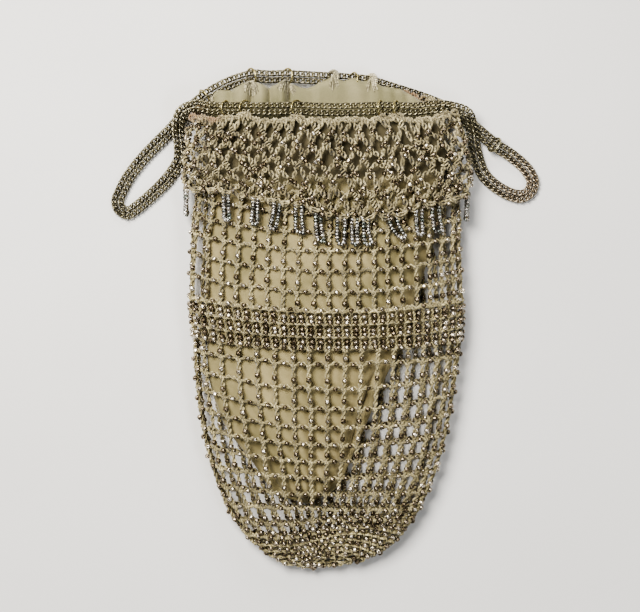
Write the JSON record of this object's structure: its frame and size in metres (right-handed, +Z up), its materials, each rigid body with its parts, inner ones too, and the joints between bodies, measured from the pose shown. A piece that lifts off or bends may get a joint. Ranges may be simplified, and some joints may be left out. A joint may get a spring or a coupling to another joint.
{
  "type": "drawstring pouch",
  "caption": "Crocheted net drawstring pouch with steel beads, a bead-fringed collar, a cloth lining and chain drawstrings run through rings, lying on its back.",
  "frame": {"origin": "on the surface that the pouch lies on, under the middle of its whole outline", "axes": "+X to the right across the front, +Y along the bag toward its mouth, +Z up from the surface, front side up"},
  "size_m": [0.1898, 0.2226, 0.021],
  "materials": {
    "net_thread": "matte crochet thread",
    "collar_thread": "matte crochet thread",
    "steel_beads": "bright cut beads",
    "lining_cloth": "plain weave",
    "chain_metal": "worn",
    "ring_brass": "dull"
  },
  "bodies": {
    "root": {"net_body": "net_thread", "collar": "collar_thread", "fringe_front": "steel_beads", "fringe_back": "steel_beads", "lining": "lining_cloth", "chain_outer": "chain_metal", "chain_inner": "chain_metal", "ring_front_1": "ring_brass", "ring_front_2": "ring_brass", "ring_front_3": "ring_brass", "ring_front_4": "ring_brass", "ring_front_5": "ring_brass", "ring_back_1": "ring_brass", "ring_back_2": "ring_brass", "ring_back_3": "ring_brass", "ring_back_4": "ring_brass", "ring_back_5": "ring_brass", "ring_back_6": "ring_brass", "ring_slide": "ring_brass"}
  },
  "joints": []
}
